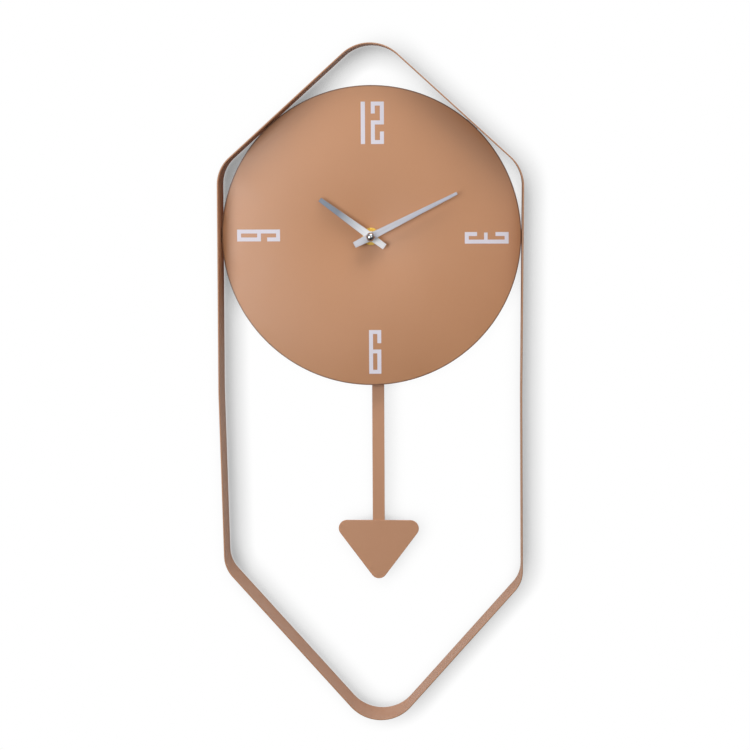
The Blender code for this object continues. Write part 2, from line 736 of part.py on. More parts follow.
def make_stepper_motor():
    left, right, bottom, top = STATOR_WINDOW
    outlines = (
        rounded_box(STATOR_LEFT, STATOR_RIGHT, STATOR_BOTTOM, STATOR_TOP, 0.001),
        rounded_box(left, right, bottom, top, 0.0005),
        circle(STATOR_HOLE_RADIUS, 32, ROTOR_AT),
    )
    finish(plate(outlines, STATOR_FRONT, STATOR_REAR), "stator", "steel")
    half = DRIVE_COIL_LENGTH / 2
    coil = turned(
        [
            (DRIVE_COIL_BORE, half),
            (DRIVE_COIL_RADIUS, half),
            (DRIVE_COIL_RADIUS, -half),
            (DRIVE_COIL_BORE, -half),
        ],
        24,
        along_x=True,
    )
    coil.location = ((left + right) / 2, (STATOR_FRONT + STATOR_REAR) / 2, (top + STATOR_TOP) / 2)
    finish(coil, "drive_coil", "copper_wire")


def make_board():
    left, right, bottom, top = BOARD_BOX
    board = box((left, BOARD_FRONT, bottom), (right, BOARD_REAR, top))
    finish(board, "circuit_board", "board_green")
    crystal = turned(
        [
            (0.0, CRYSTAL_HALF_LENGTH),
            (CRYSTAL_RADIUS, CRYSTAL_HALF_LENGTH),
            (CRYSTAL_RADIUS, -CRYSTAL_HALF_LENGTH),
            (0.0, -CRYSTAL_HALF_LENGTH),
        ],
        16,
        along_x=True,
    )
    crystal.location = (
        (left + right) / 2,
        BOARD_REAR + GAP + CRYSTAL_RADIUS,
        bottom + 0.006,
    )
    finish(crystal, "quartz_crystal", "steel")


def make_battery():
    half = BATTERY_HALF_LENGTH
    end = half + BATTERY_NUB_LENGTH
    battery = turned(
        [
            (0.0, end),
            (BATTERY_NUB_RADIUS, end),
            (BATTERY_NUB_RADIUS, half),
            (BATTERY_RADIUS - 0.0005, half),
            (BATTERY_RADIUS, half - 0.0005),
            (BATTERY_RADIUS, -half + 0.0005),
            (BATTERY_RADIUS - 0.0005, -half),
            (0.0, -half),
        ],
        32,
        along_x=True,
    )
    battery.location = (0.0, BATTERY_Y, BATTERY_Z)
    finish(battery, "battery", "battery_sleeve")
    plus_x = end + GAP
    minus_x = -half - GAP
    bump = 0.0006
    ends = {
        "battery_contact_plus": (plus_x + CONTACT_THICKNESS, CONTACT_RADIUS, plus_x),
        "battery_contact_minus": (minus_x - CONTACT_THICKNESS - bump, CONTACT_RADIUS, minus_x - bump),
    }
    for name, (outer, radius, face) in ends.items():
        high, low = max(outer, face), min(outer, face)
        profile = [(0.0, high), (radius, high), (radius, low), (0.0, low)]
        if name.endswith("minus"):
            profile = [(0.0, minus_x), (radius / 2, minus_x), (radius / 2, high), *profile[1:]]
        contact = turned(profile, 24, along_x=True)
        contact.location = (0.0, BATTERY_Y, BATTERY_Z)
        finish(contact, name, "steel")


# Hands


def make_hand(name, shape, front, angle, hole_radius):
    """A hand's plate, turned clockwise from 12 as seen from the front."""
    outlines = (hand_outline(*shape), circle(hole_radius, 24))
    hand = plate(outlines, front, front + HAND_THICKNESS)
    hand.rotation_euler = (math.pi / 2, math.radians(angle), 0.0)
    finish(hand, name, "satin_aluminium")


def make_hands():
    make_hand("hour_hand", HOUR_HAND, HOUR_HAND_FRONT, HOUR_HAND_ANGLE, HOUR_TUBE_RADIUS + 0.0001)
    make_hand(
        "minute_hand", MINUTE_HAND, MINUTE_HAND_FRONT, MINUTE_HAND_ANGLE, MINUTE_ARBOR_RADIUS + 0.0001
    )


def make_cap_nut():
    """A ball cut flat at its neck, with a blind bore over the end of the minute arbor."""
    bore = MINUTE_ARBOR_RADIUS + GAP
    centre = -CAP_NUT_BACK + CAP_NUT_NECK
    bore_end = centre + 0.0004
    steps = 10
    sweep = math.pi / 2 + math.asin(CAP_NUT_NECK / CAP_NUT_RADIUS)
    profile = [(0.0, centre + CAP_NUT_RADIUS)]
    for step in range(1, steps + 1):
        angle = math.pi / 2 - sweep * step / steps
        profile.append((CAP_NUT_RADIUS * math.cos(angle), centre + CAP_NUT_RADIUS * math.sin(angle)))
    profile += [(bore, -CAP_NUT_BACK), (bore, bore_end), (0.0, bore_end)]
    nut = turned(profile, 32)
    nut.rotation_euler = (math.pi / 2, 0.0, 0.0)
    finish(nut, "cap_nut", "polished_chrome")


# Pendulum


def make_pendulum_drive():
    at = Vector((PENDULUM_X, PIVOT_Z))
    pin = shaft(PIVOT_PIN_RADIUS, PIVOT_PIN_FRONT, PIVOT_PIN_REAR, at)
    finish(pin, "pendulum_pivot_pin", "steel")
    rings = (circle(PENDULUM_COIL_RADIUS, 32), circle(PENDULUM_COIL_BORE, 24))
    coil = plate(rings, PENDULUM_COIL_FRONT, PENDULUM_COIL_REAR, Vector((PENDULUM_X, MAGNET_Z)))
    finish(coil, "pendulum_coil", "copper_wire")


def make_pendulum_hanger():
    """The swinging arm: an eye on the pivot pin above, and a hook pin for the rod below."""
    half = HANGER_ARM_HALF_WIDTH
    at = Vector((PENDULUM_X, PIVOT_Z))
    top, bottom = half + 0.0005, HOOK_Z - PIVOT_Z - half
    outlines = (
        rounded_box(-half, half, bottom, top, 0.0015),
        circle(PIVOT_PIN_RADIUS + 2 * PIVOT_CLEARANCE, 16),
    )
    arm = plate_mesh(outlines, HANGER_ARM_FRONT, HANGER_ARM_REAR, at)
    hook = shaft(HOOK_RADIUS, HOOK_FRONT, HANGER_ARM_REAR - 0.0004, Vector((PENDULUM_X, HOOK_Z)))
    finish(joined(arm, hook), "pendulum_hanger", "white_plastic")
    magnet = shaft(
        MAGNET_RADIUS, MAGNET_FRONT, HANGER_ARM_FRONT - GAP, Vector((PENDULUM_X, MAGNET_Z)), 24
    )
    finish(magnet, "pendulum_magnet", "magnet")


def make_rod():
    at = Vector((PENDULUM_X, PIVOT_Z))
    low, high = ROD_BOTTOM - PIVOT_Z, ROD_TOP - PIVOT_Z
    outlines = (
        rounded_box(-ROD_HALF_WIDTH, ROD_HALF_WIDTH, low, high, 0.001),
        circle(HOOK_RADIUS + PIVOT_CLEARANCE, 16, Vector((0.0, HOOK_Z - PIVOT_Z))),
        circle(STUD_RADIUS + PIVOT_CLEARANCE, 16, Vector((0.0, STUD_Z - PIVOT_Z))),
    )
    finish(plate(outlines, ROD_FRONT, ROD_FRONT + ROD_THICKNESS, at), "pendulum_rod", "copper_paint")


def bob_corners():
    """A triangle, point down, whose rounded corners reach the bob's width and height."""
    top, bottom = BOB_TOP - PIVOT_Z, BOB_BOTTOM - PIVOT_Z
    slope = math.radians(BOB_SLOPE)
    # An upper corner's arc is centred one radius inside the width limit.
    centre_x = BOB_HALF_WIDTH - BOB_CORNER
    corner_x = centre_x + BOB_CORNER / math.tan((math.pi - slope) / 2 - (math.pi / 2 - slope))
    point_z = bottom + BOB_CORNER - BOB_CORNER / math.cos(slope)
    return [(corner_x, top, BOB_CORNER), (-corner_x, top, BOB_CORNER), (0.0, point_z, BOB_CORNER)]


def make_bob():
    """The bob's plain plate, and the stud that is welded to its back and upset behind the rod."""
    at = Vector((PENDULUM_X, PIVOT_Z))
    outlines = (rounded(bob_corners(), 12),)
    bob_rear = BOB_FRONT + BOB_THICKNESS
    finish(plate(outlines, BOB_FRONT, bob_rear, at), "pendulum_bob", "copper_paint")
    face, head = bob_rear + STUD_GAP, ROD_FRONT + ROD_THICKNESS + STUD_GAP
    stud = turned(
        [
            (0.0, -face),
            (STUD_RADIUS, -face),
            (STUD_RADIUS, -head),
            (STUD_HEAD_RADIUS, -head),
            (STUD_HEAD_RADIUS, -head - 0.0005),
            (STUD_HEAD_RADIUS - 0.0004, -head - 0.0008),
            (0.0, -head - 0.0008),
        ],
        20,
    )
    stud.rotation_euler = (math.pi / 2, 0.0, 0.0)
    stud.location = (PENDULUM_X, 0.0, STUD_Z)
    finish(stud, "bob_stud", "copper_paint")


def main():
    clear_scene()
    make_band()
    make_dial()
    make_dial_tabs()
    make_case()
    make_cover()
    make_bushing_stack()
    make_minute_arbor()
    make_hour_wheel()
    make_motion_wheel()
    make_setting_knob()
    make_centre_wheel()
    make_third_wheel()
    make_second_wheel()
    make_fifth_wheel()
    make_rotor()
    make_train_plate()
    make_stepper_motor()
    make_board()
    make_battery()
    make_hands()
    make_cap_nut()
    make_pendulum_drive()
    make_pendulum_hanger()
    make_rod()
    make_bob()


main()
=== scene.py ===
"""Looks of the pendulum wall clock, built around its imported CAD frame.

Metres, +Z up, the front faces -Y and the wall is the plane Y = 0.
Positions along X and Z in the shapes below are given from the dial's centre.
"""

import math

import bmesh
import bpy
from mathutils import Matrix, Vector


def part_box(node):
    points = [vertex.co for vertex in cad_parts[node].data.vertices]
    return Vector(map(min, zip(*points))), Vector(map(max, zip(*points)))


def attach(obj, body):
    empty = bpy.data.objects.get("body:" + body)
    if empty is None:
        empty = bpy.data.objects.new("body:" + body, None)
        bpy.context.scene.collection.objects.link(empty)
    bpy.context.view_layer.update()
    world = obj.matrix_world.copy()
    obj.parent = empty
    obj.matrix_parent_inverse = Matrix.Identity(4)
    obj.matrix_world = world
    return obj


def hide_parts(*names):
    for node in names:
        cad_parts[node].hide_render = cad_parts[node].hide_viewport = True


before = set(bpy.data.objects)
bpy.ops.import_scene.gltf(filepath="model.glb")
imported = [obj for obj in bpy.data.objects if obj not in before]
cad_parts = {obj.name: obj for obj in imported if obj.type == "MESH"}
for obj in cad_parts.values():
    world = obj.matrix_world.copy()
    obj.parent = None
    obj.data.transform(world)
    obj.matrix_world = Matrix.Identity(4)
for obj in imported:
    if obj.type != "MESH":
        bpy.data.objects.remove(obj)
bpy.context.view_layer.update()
MM = 0.001

# Where the CAD puts things
DIAL_LOW, DIAL_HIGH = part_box("dial_plate")
BAND_LOW, BAND_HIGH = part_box("frame_band")
DIAL_CENTRE = Vector(((DIAL_LOW.x + DIAL_HIGH.x) / 2, 0.0, (DIAL_LOW.z + DIAL_HIGH.z) / 2))
DIAL_RADIUS = (DIAL_HIGH.x - DIAL_LOW.x) / 2
DIAL_FRONT, DIAL_REAR = DIAL_LOW.y, DIAL_HIGH.y

# The band's bends, as in the CAD: x, z and outer radius, anticlockwise from the top
BAND_BENDS = (
    (0.0003, 0.1710, 0.034),
    (-0.1266, 0.0570, 0.030),
    (-0.1278, -0.1300, 0.200),
    (-0.1248, -0.2793, 0.028),
    (0.0072, -0.4278, 0.034),
    (0.1272, -0.2901, 0.026),
    (0.1260, -0.1300, 0.200),
    (0.1269, 0.0560, 0.033),
)
BAND_THICKNESS = 1.2 * MM
# The radius of the holes round the threaded bushing
HOLE_ON_BUSHING = 4.4 * MM

# Camera, at the height of the dial's upper part and a little to the right
CAMERA_AT = (0.08484, -1.70978, 0.04339)
CAMERA_AZIMUTH, CAMERA_ELEVATION, CAMERA_ROLL = 2.781, 7.003, -0.273
CAMERA_LENS = 97.32

# Stage: painted soft shadows on the overexposed wall, darker where the clock covers it from these two
# directions
WIDE_SHADE = {
    "direction": (-0.30, -0.95, 0.10),
    "reach": 0.024,
    "start": 0.16,
    "end": 0.56,
    "darkest": 0.05,
}
NEAR_SHADE = {
    "direction": (-0.62, -0.68, 0.40),
    "reach": 0.022,
    "start": 0.30,
    "end": 0.95,
    "darkest": 0.55,
}
STAGE_NAMES = ("wall", "floor", "wall_bounce")
STAGE_SIZE = 8.0
WALL_MIDDLE_Z = 1.0
WALL_Y, BOUNCE_Y = 0.6 * MM, 0.8 * MM
FLOOR_Z = -0.9
WORLD_STRENGTH = 0.225

# Shading: the largest angle that is still shaded smooth, in degrees
SHARP_PLATE, SHARP_REFINED, SHARP_TURNED, SHARP_NODE = 35.0, 50.0, 25.0, 35.0

# Hands, as in the CAD. A shape is: length, tail, tail end width, tail width at the hub, blade width at
# the hub, tip width and hub radius. Turn is clockwise from 12 in degrees.
HANDS = {
    "hour": {
        "shape": (0.0524, 0.0144, 0.0051, 0.0057, 0.0062, 0.0038, 0.0044),
        "turn": 306.2,
        "bore": 0.0023,
    },
    "minute": {
        "shape": (0.0802, 0.0153, 0.0050, 0.0065, 0.0060, 0.0024, 0.0034),
        "turn": 63.4,
        "bore": 0.0012,
    },
}

# Cap nut: from its back to the middle of the ball, its bore and its chamfer
CAP_NUT_NECK = 2.2 * MM
CAP_NUT_BORE = 1.4 * MM
CAP_NUT_CHAMFER = 0.2 * MM

# Numerals: the width of their strokes in millimetres, and the thickness of the ink
STROKE = 3.3
INK_THICKNESS = 0.04 * MM
# Each digit, its left and right, its bottom and top in millimetres from the dial's centre, and its turn
NUMERALS = {
    "numeral_12_one": ("1", (-8.1, -4.6), (76.5, 111.4), 0.0),
    "numeral_12_two": ("2", (0.3, 11.1), (76.5, 111.4), 0.0),
    "numeral_3": ("3", (78.1, 114.5), (-6.2, 3.4), 90.0),
    "numeral_6": ("6", (-2.1, 8.1), (-115.4, -78.5), 0.0),
    "numeral_9": ("9", (-112.2, -76.2), (-4.0, 5.9), -90.0),
}

# Recesses in the rear cover and the knob
COVER_RECESS, KNOB_RECESS = 0.7 * MM, 0.5 * MM
KNOB_RECESS_RADIUS = 2.6 * MM
LABEL_MARGIN = 8.0 * MM
LABEL_BOTTOM, LABEL_TOP, LABEL_CORNER = 5.0 * MM, 23.0 * MM, 1.2 * MM
NOTCH_DEPTH, NOTCH_HALF_HEIGHT, NOTCH_CORNER = 1.4 * MM, 3.0 * MM, 0.3 * MM
NOTCH_OVERRUN = 1.0 * MM
NOTCH_HEIGHTS = (14.0 * MM, 84.0 * MM)
MARK_ARM, MARK_HALF_STROKE = 2.0 * MM, 0.45 * MM
MARK_FROM_SIDE, MARK_ABOVE_BATTERY = 6.0 * MM, 4.6 * MM
ARROW_RADIUS, ARROW_WIDTH = 8.0 * MM, 1.1 * MM
# The arrows' start, end and head, in degrees round the knob
ARROWS = ((60.0, 105.0, 14.0), (30.0, -15.0, -14.0))


# Shapes


def polar(radius, degrees):
    angle = math.radians(degrees)
    return Vector((radius * math.cos(angle), radius * math.sin(angle)))


def circle(radius, segments, centre=(0.0, 0.0)):
    return [Vector(centre) + polar(radius, 360.0 * i / segments) for i in range(segments)]


def corner_directions(corners, i):
    corner = Vector(corners[i][:2])
    before = (Vector(corners[i - 1][:2]) - corner).normalized()
    after = (Vector(corners[(i + 1) % len(corners)][:2]) - corner).normalized()
    return corner, before, after, before.angle(after) / 2


def rounded(corners, degrees_per_step=3.0):
    """A closed outline through corners (x, z, radius), with each corner an arc."""
    points = []
    for i, (_, _, radius) in enumerate(corners):
        corner, before, after, half = corner_directions(corners, i)
        centre = corner + (before + after).normalized() * radius / math.sin(half)
        first = corner + before * radius / math.tan(half) - centre
        last = corner + after * radius / math.tan(half) - centre
        sweep = math.atan2(first.x * last.y - first.y * last.x, first.dot(last))
        steps = max(2, round(abs(math.degrees(sweep)) / degrees_per_step))
        for step in range(steps + 1):
            points.append(centre + Matrix.Rotation(sweep * step / steps, 2) @ first)
    return points


def inset(corners, distance):
    """The corners moved inwards, so that every side shifts by the distance."""
    moved = []
    for i, (_, _, radius) in enumerate(corners):
        corner, before, after, half = corner_directions(corners, i)
        shift = distance if after.cross(before) > 0 else -distance
        inner = corner + (before + after).normalized() * shift / math.sin(half)
        moved.append((inner.x, inner.y, radius - shift))
    return moved


def smooth(mesh, degrees):
    mesh.shade_smooth()
    mesh.set_sharp_from_angle(angle=math.radians(degrees))


def with_modifiers(obj):
    """The mesh that an object's modifiers make."""
    bpy.context.view_layer.update()
    evaluated = obj.evaluated_get(bpy.context.evaluated_depsgraph_get())
    return bpy.data.meshes.new_from_object(evaluated)


def flat_faces(obj, sharp):
    """Shades the flat faces flat, with the rounded edges blending into them."""
    smooth(obj.data, sharp)
    weighted = obj.modifiers.new("weighted", "WEIGHTED_NORMAL")
    weighted.keep_sharp = True
    weighted.weight = 90
    mesh = with_modifiers(obj)
    obj.modifiers.clear()
    obj.data = mesh
    return obj


def add_object(name, mesh):
    obj = bpy.data.objects.new(name, mesh)
    bpy.context.scene.collection.objects.link(obj)
    return obj


def plate(name, outlines, front, rear, edge, at=(0.0, 0.0), turn=0.0):
    """A flat plate facing -Y with rounded edges. Turn is clockwise in degrees, seen from the front."""
    curve = bpy.data.curves.new(name, "CURVE")
    curve.dimensions = "2D"
    curve.fill_mode = "BOTH"
    curve.extrude = (rear - front) / 2 - edge
    curve.bevel_depth = edge
    curve.bevel_resolution = 2
    curve.offset = -edge
    for outline in outlines:
        spline = curve.splines.new("POLY")
        spline.points.add(len(outline) - 1)
        for point, place in zip(spline.points, outline):
            point.co = (place[0], place[1], 0.0, 1.0)
        spline.use_cyclic_u = True
    source = add_object(name + "_curve", curve)
    mesh = with_modifiers(source)
    bpy.data.objects.remove(source, do_unlink=True)
    work = bmesh.new()
    work.from_mesh(mesh)
    bmesh.ops.remove_doubles(work, verts=work.verts, dist=1e-7)
    bmesh.ops.recalc_face_normals(work, faces=work.faces)
    work.to_mesh(mesh)
    work.free()
    obj = flat_faces(add_object(name, mesh), SHARP_PLATE)
    obj.rotation_euler = (math.pi / 2, math.radians(turn), 0.0)
    obj.location = (DIAL_CENTRE.x + at[0], (front + rear) / 2, DIAL_CENTRE.z + at[1])
    return obj


def turned(name, profile, steps):
    """Turns a profile of (radius, y) about the dial's axis, from its front end to its rear end."""
    work = bmesh.new()
    rings = []
    for radius, y in profile:
        if radius < 1e-7:
            rings.append([work.verts.new((0.0, y, 0.0))])
            continue
        ring = [polar(radius, 360.0 * i / steps) for i in range(steps)]
        rings.append([work.verts.new((point.x, y, point.y)) for point in ring])
    pairs = list(zip(rings, rings[1:]))
    if len(rings[0]) > 1 and len(rings[-1]) > 1:
        pairs.append((rings[-1], rings[0]))
    for first, second in pairs:
        for i in range(steps):
            k = (i + 1) % steps
            corners = [first[i % len(first)], first[k % len(first)]]
            corners += [second[k % len(second)], second[i % len(second)]]
            face = list(dict.fromkeys(corners))
            if len(face) > 2:
                work.faces.new(face)
    bmesh.ops.recalc_face_normals(work, faces=work.faces)
    mesh = bpy.data.meshes.new(name)
    work.to_mesh(mesh)
    work.free()
    smooth(mesh, SHARP_TURNED)
    obj = add_object(name, mesh)
    obj.location = DIAL_CENTRE
    return obj


def refined(node, edge, segments=2):
    """A copy of a CAD node with its edges rounded."""
    flat_angle = math.radians(1.0)
    hard_angle = 0.6
    work = bmesh.new()
    work.from_mesh(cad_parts[node].data)
    bmesh.ops.remove_doubles(work, verts=work.verts, dist=2e-7)
    bmesh.ops.dissolve_limit(work, angle_limit=flat_angle, verts=work.verts, edges=work.edges)
    hard = [e for e in work.edges if len(e.link_faces) == 2 and e.calc_face_angle() > hard_angle]
    bmesh.ops.bevel(
        work,
        geom=hard,
        offset=edge,
        offset_type="OFFSET",
        segments=segments,
        profile=0.5,
        affect="EDGES",
        clamp_overlap=True,
    )
    mesh = bpy.data.meshes.new(node + "_refined")
    work.to_mesh(mesh)
    work.free()
    return flat_faces(add_object(node + "_refined", mesh), SHARP_REFINED)


def carved(obj, outlines, rear, depth):
    """Cuts flat-bottomed recesses of the given outlines into the rear face of a piece."""
    for i, outline in enumerate(outlines):
        cutter = plate(f"{obj.name}_recess_{i}", (outline,), rear - depth, rear + depth, edge=0.0)
        modifier = obj.modifiers.new(cutter.name, "BOOLEAN")
        modifier.operation = "DIFFERENCE"
        modifier.solver = "EXACT"
        modifier.object = cutter
    mesh = with_modifiers(obj)
    for modifier in list(obj.modifiers):
        bpy.data.objects.remove(modifier.object, do_unlink=True)
    obj.modifiers.clear()
    obj.data = mesh
    return flat_faces(obj, SHARP_REFINED)


def place(obj, body, slot, material, *replaced):
    """The piece rides on a body, gets its material and stands for CAD nodes."""
    obj.data.materials.clear()
    obj.data.materials.append(material)
    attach(obj, body)
    if replaced:
        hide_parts(*replaced)
    return obj


# Material graphs


class Nodes:
    """Helpers for building a node tree."""

    def __init__(self, tree, coordinates="Object"):
        self.tree = tree
        self.coordinates = self.node("ShaderNodeTexCoord").outputs[coordinates]

    def node(self, kind, settings=None, **inputs):
        node = self.tree.nodes.new(kind)
        for key, value in (settings or {}).items():
            setattr(node, key, value)
        for key, value in inputs.items():
            self.feed(node.inputs[key.replace("_", " ")], value)
        return node

    def feed(self, socket, value):
        if isinstance(value, bpy.types.NodeSocket):
            self.tree.links.new(value, socket)
        else:
            socket.default_value = value

    def stretched(self, scale):
        mapping = self.node("ShaderNodeMapping", Vector=self.coordinates, Scale=scale)
        return mapping.outputs["Vector"]

    def noise(self, scale, detail=2.0, roughness=0.5, vector=None):
        node = self.node(
            "ShaderNodeTexNoise",
            Vector=vector or self.coordinates,
            Scale=scale,
            Detail=detail,
            Roughness=roughness,
        )
        return node.outputs["Fac"]

    def spots(self, scale):
        node = self.node("ShaderNodeTexVoronoi", Vector=self.coordinates, Scale=scale)
        return node.outputs["Distance"]

    def spread(self, value, low, high, start=0.0, end=1.0):
        """Maps a value from start..end to low..high."""
        node = self.node("ShaderNodeMapRange", Value=value)
        limits = (("From Min", start), ("From Max", end), ("To Min", low), ("To Max", high))
        for key, number in limits:
            node.inputs[key].default_value = number
        return node.outputs["Result"]

    def maths(self, operation, a, b=0.0):
        node = self.node("ShaderNodeMath", {"operation": operation})
        self.feed(node.inputs[0], a)
        self.feed(node.inputs[1], b)
        return node.outputs[0]

    def colour_mix(self, factor, a, b, blend="MIX"):
        node = self.node("ShaderNodeMix", {"data_type": "RGBA", "blend_type": blend})
        self.feed(node.inputs[0], factor)
        self.feed(node.inputs[6], a if isinstance(a, bpy.types.NodeSocket) else (*a, 1.0))
        self.feed(node.inputs[7], b if isinstance(b, bpy.types.NodeSocket) else (*b, 1.0))
        return node.outputs[2]

    def separated(self):
        return self.node("ShaderNodeSeparateXYZ", Vector=self.coordinates).outputs

    def axial(self, first=0, second=2):
        """The distance from the local axis that is at right angles to the two given ones."""
        place = self.separated()
        squares = [self.maths("MULTIPLY", place[i], place[i]) for i in (first, second)]
        return self.maths("SQRT", self.maths("ADD", *squares))


class Graph(Nodes):
    """A material's node tree, with its Principled shader set up from plain values."""

    def __init__(self, name, colour, roughness, metallic=0.0, **values):
        self.material = bpy.data.materials.new(name)
        self.material.use_nodes = True
        super().__init__(self.material.node_tree)
        self.shader = self.tree.nodes["Principled BSDF"]
        self.shader.inputs["Base Color"].default_value = (*colour, 1.0)
        self.shader.inputs["Roughness"].default_value = roughness
        self.shader.inputs["Metallic"].default_value = metallic
        for socket, value in values.items():
            self.shader.inputs[socket.replace("_", " ")].default_value = value

    def colour(self, socket):
        self.tree.links.new(socket, self.shader.inputs["Base Color"])

    def roughness(self, socket):
        self.tree.links.new(socket, self.shader.inputs["Roughness"])

    def bump(self, height, distance, strength=1.0, under=None):
        """Adds relief: height from 0 to 1 over a distance in metres."""
        node = self.node("ShaderNodeBump", Height=height, Strength=strength, Distance=distance)
        if under is not None:
            self.tree.links.new(under, node.inputs["Normal"])
        self.tree.links.new(node.outputs["Normal"], self.shader.inputs["Normal"])
        return node.outputs["Normal"]


def scaled(colour, factor):
    return tuple(channel * factor for channel in colour)


COPPER = (0.466, 0.235, 0.128)
COPPER_DIAL = (0.466, 0.223, 0.107)
COPPER_FLAKE = (0.66, 0.42, 0.28)
COPPER_DUST = (0.16, 0.08, 0.05)
# The colour of the painted shade along the dial's edge
COPPER_RIM_SHADE = (0.115, 0.055, 0.032)


def copper_paint(name, paint, flake_share, relief, rim_radius=None):
    """Satin copper-brown paint: fine orange peel and flakes, and a painted dark line of shade along the
    rim where there is a radius.
    """
    g = Graph(name, paint, 0.42, 0.0, Specular_IOR_Level=0.7)
    cloudy = g.spread(g.noise(9.0, 3.0), 0.0, 1.0, 0.3, 0.7)
    colour = g.colour_mix(cloudy, scaled(paint, 0.965), scaled(paint, 1.03))
    flakes = g.spread(g.spots(2600.0), 1.0, 0.0, 0.05, 0.35)
    colour = g.colour_mix(g.maths("MULTIPLY", flakes, flake_share), colour, COPPER_FLAKE)
    dust = g.spread(g.noise(620.0, 4.0, 0.7), 0.0, 1.0, 0.62, 0.78)
    colour = g.colour_mix(g.maths("MULTIPLY", dust, 0.07), colour, COPPER_DUST)
    if rim_radius:
        # painted shade: a dark line on the dial's front along its edge, standing for the shade on its
        # rounded rim
        rim_shade_radius = g.maths("ADD", g.axial(), g.spread(g.noise(160.0, 3.0), -0.0002, 0.0002))
        rim_shade = g.spread(rim_shade_radius, 0.0, 1.0, rim_radius - 0.0013, rim_radius - 0.0003)
        colour = g.colour_mix(g.maths("MULTIPLY", rim_shade, 0.9), colour, COPPER_RIM_SHADE)
    g.colour(colour)
    g.roughness(g.spread(g.noise(34.0, 4.0, 0.6), 0.38, 0.47, 0.3, 0.7))
    peel = g.bump(g.noise(420.0, 2.0), 0.00003, relief)
    g.bump(g.noise(2400.0, 2.0), 0.00001, relief, peel)
    return g.material


def brushed(name, colour, roughness, along, streak=0.5, metallic=1.0, tip_reflection=None, reach=1.0):
    """Brushed metal, with its streaks along one local axis and, on a hand, a painted reflection that
    shifts its tone towards the tip.
    """
    g = Graph(name, colour, roughness, metallic)
    across_streaks, along_streaks = 2600.0, 26.0
    stretch = [across_streaks] * 3
    stretch[along] = along_streaks
    lines = g.noise(1.0, 3.0, 0.65, g.stretched(stretch))
    wide = g.noise(1.0, 2.0, 0.5, g.stretched([value / 7 for value in stretch]))
    tone = g.colour_mix(
        g.spread(lines, 0.0, 1.0, 0.3, 0.7), scaled(colour, 1 - 0.16 * streak), scaled(colour, 1.04)
    )
    tone = g.colour_mix(g.spread(wide, 0.0, 0.5, 0.35, 0.65), tone, scaled(colour, 0.93))
    # painted reflection: the tone towards a hand's tip stands for the surroundings that the metal
    # reflects
    if tip_reflection:
        towards_tip = g.spread(g.separated()[along], 0.0, 1.0, 0.1 * reach, reach)
        tone = g.colour_mix(towards_tip, tone, tip_reflection, "MULTIPLY")
    g.colour(tone)
    g.roughness(g.spread(lines, roughness - 0.06, roughness + 0.10, 0.3, 0.7))
    g.bump(lines, 0.000008, streak)
    return g.material


def polished(name, colour, roughness):
    """Plated or machined metal with faint swirls and a few dull specks."""
    g = Graph(name, colour, roughness, 1.0)
    specks = g.spread(g.noise(900.0, 3.0, 0.7), 0.0, 1.0, 0.6, 0.8)
    dull = (0.72, 0.72, 0.72)
    g.colour(g.colour_mix(g.maths("MULTIPLY", specks, 0.25), colour, dull))
    g.roughness(g.spread(g.noise(300.0, 3.0), roughness * 0.75, roughness * 1.5, 0.3, 0.7))
    g.bump(g.noise(1800.0, 2.0), 0.000003, 0.3)
    return g.material


def machined(name, colour, roughness, pitch=0.00022):
    """Turned metal: rings round the local axis on the flat faces."""
    g = Graph(name, colour, roughness, 0.75)
    rings = g.maths("SINE", g.maths("MULTIPLY", g.axial(0, 1), 2 * math.pi / pitch))
    worn = g.spread(g.noise(500.0, 4.0, 0.6), 0.0, 1.0, 0.35, 0.75)
    g.colour(g.colour_mix(worn, colour, scaled(colour, 0.82)))
    g.roughness(g.spread(g.noise(700.0, 3.0), roughness - 0.05, roughness + 0.1, 0.3, 0.7))
    g.bump(rings, 0.000006, 0.4)
    return g.material


def moulded(name, colour, roughness, grain=1500.0, depth=0.00002, contrast=0.12):
    """Moulded plastic with a fine spark-eroded grain and faint flow marks."""
    g = Graph(name, colour, roughness, 0.0)
    flow = g.spread(g.noise(22.0, 3.0), 0.0, 1.0, 0.35, 0.65)
    toned = g.colour_mix(flow, scaled(colour, 1 - contrast), scaled(colour, 1 + contrast))
    dust = g.spread(g.noise(260.0, 5.0, 0.75), 0.0, 0.10, 0.58, 0.8)
    pale_dust = (0.35, 0.34, 0.32)
    g.colour(g.colour_mix(dust, toned, pale_dust))
    g.roughness(g.spread(g.noise(60.0, 4.0), roughness - 0.06, roughness + 0.08, 0.3, 0.7))
    g.bump(g.noise(grain, 3.0, 0.6), depth, 0.5)
    return g.material


def wound_wire(name, colour, axis, pitch=0.00013):
    """Enamelled wire wound round a bobbin."""
    g = Graph(name, colour, 0.33, 0.9, Coat_Weight=0.4)
    place_along = g.separated()[axis]
    turns = g.maths("SINE", g.maths("MULTIPLY", place_along, 2 * math.pi / pitch))
    uneven = g.spread(g.noise(240.0, 3.0), 0.0, 1.0, 0.3, 0.7)
    g.colour(g.colour_mix(uneven, scaled(colour, 0.72), scaled(colour, 1.12)))
    g.roughness(g.spread(g.noise(800.0, 2.0), 0.25, 0.42, 0.3, 0.7))
    g.bump(turns, 0.00003, 0.8)
    return g.material


def circuit_board(name, colour):
    """Green solder mask over etched tracks."""
    g = Graph(name, colour, 0.35, 0.0, Coat_Weight=0.3)
    grid = g.node(
        "ShaderNodeTexBrick",
        {"offset": 0.5},
        Vector=g.coordinates,
        Scale=420.0,
        Mortar_Size=0.06,
    )
    tracks = g.spread(grid.outputs["Fac"], 1.0, 0.0)
    weave = g.spread(g.noise(1500.0, 2.0), 0.0, 0.3, 0.3, 0.7)
    base = g.colour_mix(weave, colour, scaled(colour, 0.7))
    g.colour(g.colour_mix(g.maths("MULTIPLY", tracks, 0.5), base, scaled(colour, 1.8)))
    g.roughness(g.spread(g.noise(300.0, 3.0), 0.30, 0.45, 0.3, 0.7))
    g.bump(tracks, 0.00003, 0.4)
    return g.material


